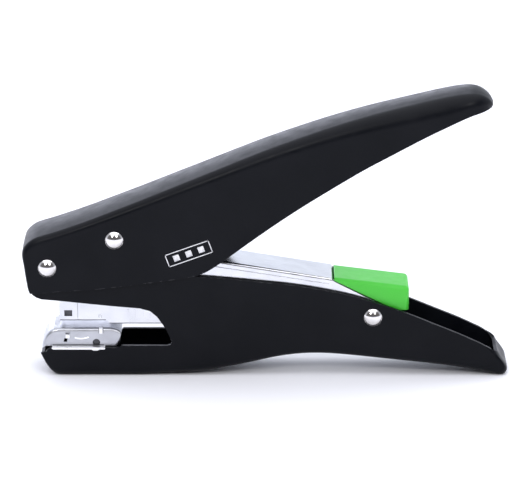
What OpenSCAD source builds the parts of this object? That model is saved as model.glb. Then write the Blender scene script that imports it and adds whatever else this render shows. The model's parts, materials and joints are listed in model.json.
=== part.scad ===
// Plier stapler: two pressed-steel handles hinged at the nose, with a driver lever, a staple
// magazine and a pull-out staple loader between them. X runs from nose to grip, Y across, Z up.

/* [Handles] */
// Width of the upper handle over its side walls
upper_w = 22.4; // [22.2:0.1:23]
// Width of the lower handle over its side walls
lower_w = 19.4; // [19.3:0.1:19.6]
// Sheet thickness of both handles
sheet_t = 1.2; // [1:0.1:1.2]

/* [Pivots] */
// Front pivot, distance forward of the middle
front_x = -77.2; // [-77.4:0.1:-77]
// Front pivot height
front_z = 40.9; // [40.7:0.1:41.1]
// Drive pin, distance forward of the middle
drive_x = -53.5; // [-53.6:0.1:-53.4]
// Drive pin height
drive_z = 51.2; // [51.1:0.1:51.3]
// Rear pivot, distance behind the middle
rear_x = 37.5; // [37.3:0.1:37.7]
// Rear pivot height
rear_z = 22; // [21.9:0.1:22.1]

/* [Rivets] */
// Shank radius of the front and drive rivets
shank_r = 2.2; // [1.8:0.1:2.2]
// Shank radius of the rear rivet
rear_shank_r = 1.9; // [1.6:0.1:1.9]
// Radius of the domed rivet heads
head_r = 3.2; // [2.8:0.1:3.4]
// Height of the domed rivet heads
head_h = 1.6; // [1.2:0.1:1.8]
// Radial clearance of every running fit
fit = 0.05; // [0.02:0.01:0.08]

/* [Driver] */
// Width of the driver lever over its side walls
lever_w = 16.5; // [16.3:0.1:16.6]
// Sheet thickness of the driver lever
lever_t = 0.7; // [0.5:0.1:0.7]
// Outer radius of the roller on the drive pin
roller_r = 2.6; // [2.4:0.05:2.6]
// Width of the driver blade
blade_w = 12.8; // [12:0.1:12.8]
// Thickness of the driver blade
blade_t = 0.5; // [0.4:0.1:0.5]

/* [Magazine] */
// Width inside the staple channel, for staples 12.9 wide
channel_inner_w = 13.1; // [13:0.1:13.2]
// Sheet thickness of the staple channel
channel_t = 0.5; // [0.4:0.1:0.5]
// Height of the channel's underside at the nose
channel_z = 20.1; // [20:0.1:20.3]
// Height of the channel's top edge
channel_top_z = 28.9; // [28.6:0.1:29]

/* [Loader] */
// Width of the pull cap
cap_w = 15.8; // [15:0.1:16]
// Radius of the guide rod
rod_r = 1.1; // [0.9:0.1:1.1]
// Turns of the pusher spring
pusher_turns = 26; // [16:1:30]

/* [Hidden] */
$fn = 48;

black = [0.13, 0.14, 0.16];
nickel = [0.86, 0.87, 0.88];
steel = [0.62, 0.63, 0.65];
green = [0.36, 0.80, 0.32];
far = 300;
eps = 0.01;

// Web and free-edge stations of the pressed handles, nose to grip:
// [web x, web z, free edge x, free edge z, half width as a share, shoulder radius]
upper_stations = [
    [-84.5, 34.2, -83.5, 31.4, 1, 2.4],
    [-85.1, 37.9, -81.8, 31.3, 1, 2.4],
    [-85.6, 41.9, -80.0, 31.4, 1, 2.4],
    [-86.1, 45.2, -78.4, 31.6, 1, 2.4],
    [-85.3, 48.4, -76.8, 31.8, 1, 2.4],
    [-81.8, 51.4, -75.0, 32.0, 1, 2.4],
    [-76.0, 53.2, -71.0, 32.3, 1, 2.4],
    [-64.5, 57.2, -60.5, 32.9, 1, 2.5],
    [-53.8, 61.4, -48.0, 34.5, 1, 2.7],
    [-43.1, 65.7, -35.0, 36.3, 1, 2.9],
    [-32.5, 70.1, -24.0, 38.1, 1, 3.1],
    [-21.8, 74.5, -16.5, 42.6, 1, 3.4],
    [-11.0, 79.0, -8.0, 49.0, 1, 3.7],
    [-0.7, 83.2, 2.5, 56.7, 1, 4.0],
    [9.9, 87.1, 13.0, 63.9, 1, 4.3],
    [20.4, 90.8, 23.5, 70.6, 1, 4.7],
    [30.9, 94.1, 34.0, 77.1, 1, 5.1],
    [41.4, 97.0, 44.0, 82.6, 1, 5.5],
    [51.9, 99.6, 54.5, 88.4, 1, 5.9],
    [61.5, 101.9, 63.5, 92.9, 0.99, 5.8],
    [69.3, 103.2, 70.2, 95.9, 0.92, 4.8],
    [73.6, 103.0, 74.2, 96.9, 0.79, 3.8],
    [76.4, 101.7, 76.5, 97.4, 0.62, 2.6],
    [78.0, 100.2, 77.7, 97.7, 0.47, 1.5],
    [78.7, 98.8, 78.3, 97.8, 0.37, 0.7],
];
lower_stations = [
    [-80.1, 7.6, -83.6, 38.0, 1, 2.4],
    [-78.8, 3.9, -82.0, 44.0, 1, 2.4],
    [-77.3, 1.3, -78.5, 47.0, 1, 2.4],
    [-75.2, 0.0, -73.0, 46.6, 1, 2.4],
    [-68.0, -0.2, -68.0, 43.5, 1, 2.4],
    [-59.0, -0.2, -60.5, 39.4, 1, 2.4],
    [-50.0, -0.2, -51.0, 37.6, 1, 2.4],
    [-42.0, 0.2, -41.0, 37.6, 1, 2.4],
    [-35.0, 0.6, -33.0, 37.5, 1, 2.4],
    [-27.3, 1.0, -23.5, 37.2, 1, 2.4],
    [-17.7, 2.1, -14.0, 36.4, 1, 2.4],
    [-6.3, 4.4, -4.0, 35.4, 1, 2.4],
    [4.0, 6.8, 6.0, 34.4, 1, 2.4],
    [13.0, 7.9, 15.0, 33.1, 1, 2.4],
    [22.0, 7.9, 24.0, 31.4, 1, 2.4],
    [31.0, 7.1, 32.5, 29.3, 1, 2.4],
    [40.0, 6.1, 42.0, 26.3, 1, 2.4],
    [49.0, 5.1, 51.0, 22.9, 1, 2.4],
    [58.0, 4.1, 60.0, 19.1, 1, 2.4],
    [67.0, 2.9, 68.0, 15.8, 1, 2.5],
    [75.0, 1.5, 73.5, 13.2, 1, 2.6],
    [80.5, 0.3, 75.8, 12.1, 1, 2.7],
    [83.9, -0.1, 76.7, 11.6, 1, 2.7],
    [85.5, 1.2, 77.2, 11.3, 1, 2.7],
    [85.9, 2.8, 77.6, 11.1, 1, 2.7],
    [85.3, 4.4, 78.0, 10.85, 1, 2.7],
    [84.0, 6.2, 78.4, 10.6, 1, 2.7],
    [82.6, 7.9, 78.8, 10.35, 1, 2.7],
    [82.1, 8.7, 79.2, 10.15, 1, 2.7],
];
station_steps = 3;
arc_steps = 5;

lever_slope = -0.162;
lever_front_x = -70.5;
lever_rear_x = 22.4;
lever_boss_r = 5.3;
blade_x = -72.5;
channel_outer_w = channel_inner_w + 2 * channel_t;
nose_x = -73.5;
nose_rear_x = -67;
floor_end_x = 33;
anvil_top_z = 16.9;
anvil_half_w = 7.5;
pin_x = -60.4;
pin_z = 12.4;
rod_z = 25.7;
rod_front_x = -64;
cap_x = 24.4;
cap_bottom_z = 24.2;
return_x = -30;

function web(s) = [s[0], s[1]];
function edge(s) = [s[2], s[3]];
function unit(v) = v / norm(v);

// Smooth curve through a list of stations, with the ends repeated.
function blend4(a, b, c, d, t) =
    0.5 * (2 * b + (c - a) * t + (2 * a - 5 * b + 4 * c - d) * t * t
    + (3 * b - a - 3 * c + d) * t * t * t);
function smooth(list, steps) = [
    for (i = [0:len(list) - 2], k = [0:steps - 1])
        blend4(list[max(i - 1, 0)], list[i], list[i + 1], list[min(i + 2, len(list) - 1)], k / steps),
    list[len(list) - 1]
];

// Inward normal of the web at station i, pointing to the free edge.
function web_normal(st, i) =
    let (
        along = unit(web(st[min(i + 1, len(st) - 1)]) - web(st[max(i - 1, 0)])),
        side = [-along[1], along[0]],
        down = edge(st[i]) - web(st[i])
    )
    side * down > 0 ? side : -side;

// One cross-section: free edge, wall, shoulder arc, web, shoulder arc, wall, free edge.
function section(corner, free, half, r) =
    let (d = unit(free - corner))
    let (near = [
        for (k = [0:arc_steps])
            let (a = 90 * k / arc_steps, p = corner + d * r * (1 - sin(a)))
            [p[0], -(half - r + r * cos(a)), p[1]]
    ])
    concat(
        [[free[0], -half, free[1]]],
        near,
        [for (k = [arc_steps:-1:0]) [near[k][0], -near[k][1], near[k][2]]],
        [[free[0], half, free[1]]]
    );

// A pressed channel: the outer and inner sections of every station, joined along both free
// edges and across both ends.
module pressed_channel(stations, width, floor_z, flip) {
    st = [for (s = smooth(stations, station_steps)) [s[0], max(s[1], floor_z), s[2], s[3], s[4], s[5]]];
    n = len(st);
    m = 2 * arc_steps + 4;
    outer = [for (s = st) each section(web(s), edge(s), s[4] * width / 2, s[5])];
    inner = [
        for (i = [0:n - 1])
            each section(web(st[i]) + sheet_t * web_normal(st, i), edge(st[i]),
                st[i][4] * width / 2 - sheet_t, max(st[i][5] - sheet_t, 0.3))
    ];
    base = n * m;
    quads = concat(
        [for (i = [0:n - 2], j = [0:m - 2])
            [i * m + j, i * m + j + 1, (i + 1) * m + j + 1, (i + 1) * m + j]],
        [for (i = [0:n - 2], j = [0:m - 2])
            base * [1, 1, 1, 1] + [i * m + j, (i + 1) * m + j, (i + 1) * m + j + 1, i * m + j + 1]],
        [for (i = [0:n - 2]) [i * m, (i + 1) * m, base + (i + 1) * m, base + i * m]],
        [for (i = [0:n - 2])
            [i * m + m - 1, base + i * m + m - 1, base + (i + 1) * m + m - 1, (i + 1) * m + m - 1]],
        [for (j = [0:m - 2]) [j, base + j, base + j + 1, j + 1]],
        [for (j = [0:m - 2])
            [(n - 1) * m + j, (n - 1) * m + j + 1, base + (n - 1) * m + j + 1, base + (n - 1) * m + j]]
    );
    faces = flip ? [for (q = quads) [q[3], q[2], q[1], q[0]]] : quads;
    polyhedron(points = concat(outer, inner), faces = faces, convexity = 10);
}

// Places a child drawn about Z on an axis across the stapler at (x, z).
module across(x, z) {
    translate([x, 0, z])
        rotate([90, 0, 0])
            children();
}

// Extrudes a side outline (x, z) symmetrically across the stapler.
module slab(width) {
    rotate([90, 0, 0])
        linear_extrude(height = width, center = true)
            children();
}

// Both halves of something drawn on the +Y side.
module both_sides() {
    children();
    mirror([0, 1, 0])
        children();
}

// Domed rivet across the stapler, its heads bearing on faces half_w from the middle.
module domed_rivet(half_w, r) {
    dome_r = (head_r * head_r + head_h * head_h) / (2 * head_h);
    cylinder(r = r, h = 2 * half_w + 2 * eps, center = true);
    for (side = [-1, 1])
        scale([1, 1, side])
            translate([0, 0, half_w])
                intersection() {
                    cylinder(r = head_r, h = head_h);
                    translate([0, 0, head_h - dome_r])
                        sphere(r = dome_r);
                }
}

module washer(r, bore, t) {
    difference() {
        cylinder(r = r, h = t);
        translate([0, 0, -1])
            cylinder(r = bore, h = t + 2);
    }
}

// Round wire wound on an axis along Z, from z = 0 to z = height.
module coil(mean_r, wire_r, height, turns, per_turn, sides) {
    n = turns * per_turn;
    rings = [
        for (i = [0:n], j = [0:sides - 1])
            let (a = 360 * i / per_turn, b = 360 * j / sides, r = mean_r + wire_r * cos(b))
            [r * cos(a), r * sin(a), wire_r + (height - 2 * wire_r) * i / n + wire_r * sin(b)]
    ];
    polyhedron(
        points = rings,
        faces = concat(
            [[for (j = [0:sides - 1]) j]],
            [for (i = [0:n - 1], j = [0:sides - 1])
                let (k = (j + 1) % sides)
                each [
                    [i * sides + j, (i + 1) * sides + j, (i + 1) * sides + k],
                    [i * sides + j, (i + 1) * sides + k, i * sides + k]
                ]],
            [[for (j = [sides - 1:-1:0]) n * sides + j]]
        ),
        convexity = 10
    );
}

// ---- Lower arm ----

// The space that the paper goes into, between the two jaws of the lower handle.
module throat() {
    slab(far)
        polygon([
            [-100, 28.0], [-79.6, 28.9], [-73, 28.2], [-58.9, 26.7], [-51.8, 26.0], [-44.8, 25.4],
            [-41.3, 24.4], [-38.8, 22.2], [-37, 19.6], [-35.6, 17.3], [-34.3, 14.5], [-33.6, 12.6],
            [-34.2, 11.7], [-35.4, 11.4], [-51.5, 11.4], [-52.2, 10.6], [-76.4, 10.6], [-77.5, 10.1],
            [-78.5, 8.8], [-100, 8.8]
        ]);
}

module lower_handle() {
    color(black)
        difference() {
            pressed_channel(lower_stations, lower_w, 0, true);
            throat();
            across(front_x, front_z)
                cylinder(r = shank_r + fit, h = far, center = true);
            across(rear_x, rear_z)
                cylinder(r = rear_shank_r + fit, h = far, center = true);
        }
}

module anvil() {
    plate_t = 1;
    flange_t = 0.6;
    color(nickel)
        difference() {
            union() {
                slab(2 * anvil_half_w)
                    polygon([
                        [-79.8, 8.85], [-79.8, 10.8], [-78.8, 13.0], [-77.7, 15.0], [-76.0, 16.3],
                        [-73.6, anvil_top_z], [-53.9, anvil_top_z], [-52.6, 15.7], [-52.6, 10.6]
                    ]);
                translate([-76, -lower_w / 2, 10.6])
                    cube([19, lower_w, flange_t]);
            }
            slab(2 * (anvil_half_w - plate_t))
                polygon([
                    [-78.7, 8], [-78.7, 10.9], [-77.8, 12.9], [-76.8, 14.4], [-75.6, 15.3],
                    [-73.4, anvil_top_z - plate_t], [-54.3, anvil_top_z - plate_t], [-53.6, 15.2],
                    [-53.6, 10]
                ]);
            translate([-75.55, -6.75, 10])
                cube([7.1, 13.5, 10]);
            across(pin_x, pin_z)
                cylinder(r = 1 + fit, h = far, center = true);
        }
}

module anvil_plate() {
    color(steel)
        difference() {
            union() {
                translate([-75.5, -6.7, 15])
                    cube([7, 13.4, anvil_top_z - 15]);
                translate([-73.3, -6.4, 15.2])
                    cube([5.9, 12.8, 0.65]);
            }
            both_sides()
                translate([blade_x, 0.8, anvil_top_z + 0.3])
                    rotate([-90, 0, 0])
                        cylinder(r = 0.9, h = 5.4);
        }
}

module anvil_pin() {
    color(nickel)
        across(pin_x, pin_z) {
            cylinder(r = 1, h = 2 * anvil_half_w + 2 * eps, center = true);
            for (side = [-1, 1])
                scale([1, 1, side])
                    translate([0, 0, anvil_half_w])
                        cylinder(r = 1.15, h = 0.3);
        }
}

module rear_rivet() {
    color(nickel)
        across(rear_x, rear_z)
            domed_rivet(lower_w / 2, rear_shank_r);
}

module pivot_washers() {
    gap = (lever_w - 2 * lever_t - channel_outer_w) / 2;
    color(steel)
        both_sides()
            translate([rear_x, channel_outer_w / 2 + 0.05, rear_z])
                rotate([-90, 0, 0])
                    washer(4, rear_shank_r + fit, gap - 0.1);
}

module lift_spring() {
    leaf_t = 0.5;
    tip_x = -28;
    root_x = 12;
    rise = 10.15;
    root_z = 9.8;
    upper_line = [
        for (k = [0:12])
            let (u = k / 12, x = root_x + (tip_x - root_x) * u)
            [x, root_z + rise * u * u * (3 - 2 * u)]
    ];
    color(steel)
        slab(9)
            polygon(concat(
                [[22, root_z]],
                upper_line,
                [for (k = [12:-1:0]) upper_line[k] - [0, leaf_t]],
                [[22, root_z - leaf_t]]
            ));
}

// ---- Upper arm ----

module upper_handle() {
    color(black)
        difference() {
            pressed_channel(upper_stations, upper_w, -far, false);
            across(front_x, front_z)
                cylinder(r = shank_r + fit, h = far, center = true);
            across(drive_x, drive_z)
                cylinder(r = shank_r + fit, h = far, center = true);
        }
}

module front_rivet() {
    color(nickel)
        across(front_x, front_z)
            domed_rivet(upper_w / 2, shank_r);
}

module drive_rivet() {
    color(nickel)
        across(drive_x, drive_z)
            domed_rivet(upper_w / 2, shank_r);
}

module drive_roller() {
    roller_w = 15;
    color(steel)
        across(drive_x, drive_z)
            translate([0, 0, -roller_w / 2])
                washer(roller_r, shank_r + fit, roller_w);
}

module drive_washers() {
    color(steel)
        both_sides()
            translate([drive_x, 8.5, drive_z])
                rotate([-90, 0, 0])
                    washer(3.2, shank_r + fit, 1.4);
}

// ---- Driver ----

function lever_top_z(x) = 41.6 + lever_slope * (x + 10.9);

module driver_lever() {
    rise = norm([1, lever_slope]);
    color(nickel)
        difference() {
            union() {
                difference() {
                    slab(lever_w) {
                        polygon([
                            [-73, 31], [-73, 40], [lever_front_x, lever_top_z(lever_front_x)],
                            [lever_rear_x, lever_top_z(lever_rear_x)], [24, 34.8], [40.7, 26.1],
                            [rear_x, rear_z - lever_boss_r]
                        ]);
                        translate([rear_x, rear_z])
                            circle(r = lever_boss_r);
                    }
                    slab(lever_w - 2 * lever_t)
                        polygon([
                            [-far, -far], [-far, lever_top_z(-far) - lever_t * rise],
                            [lever_rear_x, lever_top_z(lever_rear_x) - lever_t * rise],
                            [lever_rear_x, far], [far, far], [far, -far]
                        ]);
                }
                slab(7)
                    polygon([
                        [-73.4, 46.2], [-73.4, 45.1], [-69.3, 45.1], [-63.8, 49.7], [-65.2, 50.2],
                        [-69.9, 46.2]
                    ]);
            }
            across(rear_x, rear_z)
                cylinder(r = rear_shank_r + fit, h = far, center = true);
        }
}

module driver_blade() {
    color(steel)
        difference() {
            translate([blade_x - blade_t / 2, -blade_w / 2, 28.4])
                cube([blade_t, blade_w, 19.6]);
            translate([blade_x - 1, -4, 44.5])
                cube([2, 8, 2.3]);
        }
}

// ---- Magazine ----

module magazine_channel() {
    color(nickel)
        difference() {
            union() {
                difference() {
                    slab(channel_outer_w)
                        polygon([
                            [nose_rear_x + 0.1, channel_z], [-56.6, channel_z], [-55.8, 18.9],
                            [38, 18.9], [43, 20.5], [43, 24.8], [35.4, channel_top_z],
                            [nose_rear_x + 0.1, channel_top_z]
                        ]);
                    slab(channel_inner_w)
                        polygon([[-far, 0], [far, 0], [far, far], [-far, far]]);
                }
                translate([nose_rear_x + 0.1, -channel_inner_w / 2 - eps, channel_z])
                    cube([floor_end_x - nose_rear_x - 0.1, channel_inner_w + 2 * eps, channel_t]);
            }
            across(rear_x, rear_z)
                cylinder(r = rear_shank_r + fit, h = far, center = true);
            across(-59, 21.6)
                cylinder(r = 0.6, h = far, center = true);
        }
}

module nose_plate() {
    roof_z = channel_top_z + channel_t;
    color(nickel)
        difference() {
            translate([nose_x, -channel_outer_w / 2, channel_z])
                cube([nose_rear_x - nose_x, channel_outer_w, roof_z - channel_z]);
            translate([nose_x + channel_t, -channel_inner_w / 2, channel_z - 1])
                cube([1.15, channel_inner_w, far]);
            translate([nose_x + channel_t, -channel_inner_w / 2, channel_z + channel_t])
                cube([far, channel_inner_w, channel_top_z - channel_z - channel_t]);
            translate([-71.7, -far / 2, 21.6])
                cube([2.8, far, 2.2]);
        }
    color(nickel)
        translate([nose_rear_x - 0.5, -channel_outer_w / 2, channel_top_z + eps])
            cube([6, channel_outer_w, channel_t - eps]);
}

module staple_cover() {
    color(nickel)
        translate([-61, -channel_outer_w / 2, channel_top_z])
            cube([81, channel_outer_w, channel_t]);
}

module cover_rivets() {
    color(nickel)
        for (x = [-63.5, -58, 6])
            both_sides()
                translate([x, 5, channel_top_z + channel_t])
                    cylinder(r1 = 1.2, r2 = 0.8, h = 0.5);
}

module return_spring() {
    color(steel)
        translate([return_x, 0, channel_top_z + channel_t + 0.02])
            coil(4.2, 0.5, 13.1, 6, 16, 6);
}

module latch_spring() {
    color(steel)
        slab(7)
            polygon([
                [11, 29.42], [20, 29.42], [25.6, 31.6], [28.6, 30.2], [28.8, 30.6], [25.6, 32.1],
                [19.8, 29.85], [11, 29.85]
            ]);
}

// ---- Loader ----

module pull_cap() {
    step_x = 44.2;
    rear = cap_x + 25.8;
    top_z = 35.9;
    rear_top_z = 32.9;
    corner_r = 1.5;
    color(green)
        difference() {
            union() {
                slab(cap_w)
                    polygon(concat(
                        [[step_x, 25], [cap_x, 35.2], [cap_x, top_z]],
                        [for (a = [80:-10:0]) [rear, rear_top_z] + corner_r * [cos(a) - 1, sin(a) - 1]],
                        [[rear, cap_bottom_z], [step_x, cap_bottom_z]]
                    ));
                slab(12.4)
                    polygon([
                        [30, cap_bottom_z], [30, 32.1], [step_x + 1, 25.5], [step_x + 1, cap_bottom_z]
                    ]);
            }
            across(0, 0)
                translate([30 - eps, rod_z, 0])
                    rotate([0, 90, 0])
                        cylinder(r = rod_r, h = 10);
        }
}

module guide_rod() {
    color(steel)
        translate([rod_front_x, 0, rod_z])
            rotate([0, 90, 0])
                cylinder(r = rod_r, h = 39.9 - rod_front_x);
}

module rod_clip() {
    color(steel)
        translate([rod_front_x + 0.6, 0, rod_z])
            rotate([0, 90, 0])
                washer(1.9, rod_r, 0.6);
}

// ---- Pusher ----

module pusher() {
    color(steel)
        difference() {
            translate([-71.9, -6.3, 21])
                cube([13.9, 12.6, 7.6]);
            translate([-71, -5.4, 20])
                cube([9, 10.8, 10]);
            translate([-72.5, 0, rod_z])
                rotate([0, 90, 0])
                    cylinder(r = 2.2, h = 2);
            translate([-63, 0, rod_z])
                rotate([0, 90, 0])
                    cylinder(r = rod_r + fit, h = 10);
        }
}

module spring_washer() {
    color(steel)
        translate([-58, 0, rod_z])
            rotate([0, 90, 0])
                washer(2.5, rod_r + fit, 0.5);
}

module pusher_spring() {
    color(steel)
        translate([-57.45, 0, rod_z])
            rotate([0, 90, 0])
                coil(2.0, 0.25, 87.3, pusher_turns, 12, 5);
}

lower_handle();
anvil();
anvil_plate();
anvil_pin();
rear_rivet();
pivot_washers();
lift_spring();
upper_handle();
front_rivet();
drive_rivet();
drive_roller();
drive_washers();
driver_lever();
driver_blade();
magazine_channel();
nose_plate();
staple_cover();
cover_rivets();
return_spring();
latch_spring();
pull_cap();
guide_rod();
rod_clip();
pusher();
spring_washer();
pusher_spring();
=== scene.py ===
"""Looks of the plier stapler: pressed handles, nickel parts, moulded cap, springs, materials and studio.

Sizes are in millimetres unless a comment says otherwise, and MM turns them into the scene's metres.
"""

import json
import math

import bmesh
import bpy
import numpy as np
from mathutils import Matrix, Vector


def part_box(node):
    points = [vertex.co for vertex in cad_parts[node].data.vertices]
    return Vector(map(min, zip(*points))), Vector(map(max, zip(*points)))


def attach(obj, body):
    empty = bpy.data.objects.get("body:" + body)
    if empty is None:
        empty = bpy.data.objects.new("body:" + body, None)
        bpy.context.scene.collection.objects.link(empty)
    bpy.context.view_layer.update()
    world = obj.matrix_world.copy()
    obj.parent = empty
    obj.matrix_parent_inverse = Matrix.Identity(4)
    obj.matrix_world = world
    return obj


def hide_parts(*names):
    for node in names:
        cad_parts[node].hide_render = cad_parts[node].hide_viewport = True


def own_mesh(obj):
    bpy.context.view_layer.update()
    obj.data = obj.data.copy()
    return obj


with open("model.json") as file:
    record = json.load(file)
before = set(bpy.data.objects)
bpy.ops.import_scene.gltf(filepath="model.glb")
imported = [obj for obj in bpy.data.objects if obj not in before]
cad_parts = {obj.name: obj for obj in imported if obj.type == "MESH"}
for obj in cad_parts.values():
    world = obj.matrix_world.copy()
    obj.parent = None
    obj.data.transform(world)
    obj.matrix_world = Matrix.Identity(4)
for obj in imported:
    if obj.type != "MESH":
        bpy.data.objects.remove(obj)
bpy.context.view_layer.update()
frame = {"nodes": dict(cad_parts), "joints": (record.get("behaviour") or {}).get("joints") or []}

MM = 0.001
NODES = frame["nodes"]
JOINTS = {j["name"]: j for j in frame["joints"]}


def place_of(joint):
    """A joint's point in the side plane, in millimetres: (x, z)."""
    x, _, z = JOINTS[joint]["pos_m"]
    return np.array([x, z]) / MM


def box_mm(node):
    """A CAD node's lowest and highest corners, in millimetres."""
    low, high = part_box(node)
    return np.array(low) / MM, np.array(high) / MM


def centre_of(node):
    """The middle of a CAD node in the side plane, in millimetres: (x, z)."""
    low, high = box_mm(node)
    mid = (low + high) / 2
    return np.array([mid[0], mid[2]])


FRONT_PIVOT = place_of("handle_squeeze")
REAR_PIVOT = place_of("lever_swing")
DRIVE_PIN = centre_of("drive_rivet")
CAP_LOW, CAP_HIGH = box_mm("pull_cap")

# Half widths and thicknesses of the pressed pieces.
SHEET_T = 1.2
UPPER_HALF = 11.2
LOWER_HALF = 9.7
LEVER_HALF = box_mm("driver_lever")[1][1]
LEVER_T = 0.7

# Rivet shanks, the gap round them, and the half depths of cutters that pass right through a piece.
SHANK_R = 2.2
REAR_SHANK_R = 1.9
FIT = 0.08
THROUGH_HANDLE = 50
THROUGH = 20

# Web and free-edge stations of the pressed pieces, nose to grip:
# (web x, web z, free edge x, free edge z, half width as a share, shoulder radius)
UPPER_STATIONS = [
    (-84.5, 34.2, -83.5, 31.4, 1, 2.4),
    (-85.1, 37.9, -81.8, 31.3, 1, 2.4),
    (-85.6, 41.9, -80.0, 31.4, 1, 2.4),
    (-86.1, 45.2, -78.4, 31.6, 1, 2.4),
    (-85.3, 48.4, -76.8, 31.8, 1, 2.4),
    (-81.8, 51.4, -75.0, 32.0, 1, 2.4),
    (-76.0, 53.2, -71.0, 32.3, 1, 2.4),
    (-64.5, 57.2, -60.5, 32.9, 1, 2.5),
    (-53.8, 61.4, -48.0, 34.5, 1, 2.7),
    (-43.1, 65.7, -35.0, 36.3, 1, 2.9),
    (-32.5, 70.1, -24.0, 38.1, 1, 3.1),
    (-21.8, 74.5, -16.5, 42.6, 1, 3.4),
    (-11.0, 79.0, -8.0, 49.0, 1, 3.7),
    (-0.7, 83.2, 2.5, 56.7, 1, 4.0),
    (9.9, 87.1, 13.0, 63.9, 1, 4.3),
    (20.4, 90.8, 23.5, 70.6, 1, 4.7),
    (30.9, 94.1, 34.0, 77.1, 1, 5.1),
    (41.4, 97.0, 44.0, 82.6, 1, 5.5),
    (51.9, 99.6, 54.5, 88.4, 1, 5.9),
    (61.5, 101.9, 63.5, 92.9, 0.99, 5.8),
    (69.3, 103.2, 70.2, 95.9, 0.92, 4.8),
    (73.6, 103.0, 74.2, 96.9, 0.79, 3.8),
    (76.4, 101.7, 76.5, 97.4, 0.62, 2.6),
    (78.0, 100.2, 77.7, 97.7, 0.47, 1.5),
    (78.7, 98.8, 78.3, 97.8, 0.37, 0.7),
]
LOWER_STATIONS = [
    (-80.1, 7.6, -83.6, 38.0, 1, 2.4),
    (-78.3, 3.9, -82.0, 44.0, 1, 2.4),
    (-76.4, 1.3, -78.5, 47.0, 1, 2.4),
    (-73.9, 0.0, -73.0, 46.6, 1, 2.4),
    (-68.0, -0.2, -68.0, 43.5, 1, 2.4),
    (-59.0, -0.2, -60.5, 39.4, 1, 2.4),
    (-50.0, -0.2, -51.0, 37.6, 1, 2.4),
    (-42.0, 0.2, -41.0, 37.6, 1, 2.4),
    (-35.0, 0.6, -33.0, 37.5, 1, 2.4),
    (-27.3, 1.0, -23.5, 37.2, 1, 2.4),
    (-17.7, 2.1, -14.0, 36.4, 1, 2.4),
    (-6.3, 4.4, -4.0, 35.4, 1, 2.4),
    (4.0, 6.8, 6.0, 34.4, 1, 2.4),
    (13.0, 7.9, 15.0, 33.1, 1, 2.4),
    (22.0, 7.9, 24.0, 31.4, 1, 2.4),
    (31.0, 7.1, 32.5, 29.3, 1, 2.4),
    (40.0, 6.1, 42.0, 26.3, 1, 2.4),
    (49.0, 5.1, 51.0, 22.9, 1, 2.4),
    (58.0, 4.1, 60.0, 19.1, 1, 2.4),
    (67.0, 2.9, 68.0, 15.8, 1, 2.5),
    (75.0, 1.5, 73.5, 13.2, 1, 2.6),
    (80.5, 0.3, 75.8, 12.1, 1, 2.7),
    (83.9, -0.1, 76.7, 11.6, 1, 2.7),
    (85.3, 1.2, 77.2, 11.3, 1, 2.7),
    (85.5, 2.6, 77.6, 11.1, 0.99, 3.0),
    (84.7, 4.3, 78.0, 10.85, 0.98, 3.2),
    (83.3, 6.2, 78.4, 10.6, 0.97, 3.2),
    (82.2, 7.9, 78.8, 10.35, 0.97, 3.0),
    (81.8, 8.7, 79.2, 10.15, 0.97, 2.7),
]

# The paper throat between the jaws, cut through the lower handle: (x, z), open at the nose.
THROAT = [
    (-100, 33.0), (-83.4, 30.9), (-81.4, 29.5), (-79.6, 28.8), (-73, 28.2), (-58.9, 26.7),
    (-51.8, 26.0), (-44.8, 25.4), (-41.3, 24.4), (-38.8, 22.2), (-37, 19.6), (-35.6, 17.3),
    (-34.3, 14.5), (-33.6, 12.6), (-34.2, 11.7), (-35.4, 11.4), (-51.5, 11.4), (-52.2, 10.6),
    (-76.4, 10.6), (-77.5, 10.1), (-78.5, 8.8), (-100, 8.8),
]


# ---------------------------------------------------------------- camera

TARGET = Vector((-1.2, 0.0, 48.2)) * MM
CAMERA_DISTANCE = 1200.0
CAMERA_ELEVATION = math.radians(18.6)
SENSOR_WIDTH = 36.0
VIEW_WIDTH = 186.2945  # how much of the target's plane the picture is wide


def make_camera():
    """The camera looks square at the stapler's side, from a little above."""
    data = bpy.data.cameras.new("camera")
    data.sensor_fit = "HORIZONTAL"
    data.sensor_width = SENSOR_WIDTH
    data.lens = SENSOR_WIDTH * CAMERA_DISTANCE / VIEW_WIDTH
    data.clip_start = 0.05
    data.clip_end = 50
    camera = bpy.data.objects.new("camera", data)
    away = Vector((0, -math.cos(CAMERA_ELEVATION), math.sin(CAMERA_ELEVATION)))
    camera.location = TARGET + away * (CAMERA_DISTANCE * MM)
    camera.rotation_euler = (math.pi / 2 - CAMERA_ELEVATION, 0, 0)
    bpy.context.scene.collection.objects.link(camera)
    bpy.context.scene.camera = camera


make_camera()


# ---------------------------------------------------------------- materials

def new_material(name, colour, roughness, metallic=0.0, specular=0.5):
    """A Principled material with its uniform values on the shader's own sockets."""
    material = bpy.data.materials.new(name)
    material.use_nodes = True
    shader = material.node_tree.nodes["Principled BSDF"]
    shader.inputs["Base Color"].default_value = (*colour, 1)
    shader.inputs["Roughness"].default_value = roughness
    shader.inputs["Metallic"].default_value = metallic
    shader.inputs["Specular IOR Level"].default_value = specular
    return material, material.node_tree, shader


def noise(tree, scale, detail, stretch=None):
    """A noise texture in object space: scale is in cells per metre, stretch multiplies it per axis."""
    coords = tree.nodes.new("ShaderNodeTexCoord")
    texture = tree.nodes.new("ShaderNodeTexNoise")
    texture.inputs["Scale"].default_value = scale
    texture.inputs["Detail"].default_value = detail
    texture.inputs["Roughness"].default_value = 0.55
    source = coords.outputs["Object"]
    if stretch:
        mapping = tree.nodes.new("ShaderNodeMapping")
        mapping.inputs["Scale"].default_value = stretch
        tree.links.new(source, mapping.inputs["Vector"])
        source = mapping.outputs["Vector"]
    tree.links.new(source, texture.inputs["Vector"])
    return texture.outputs["Fac"]


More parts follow.
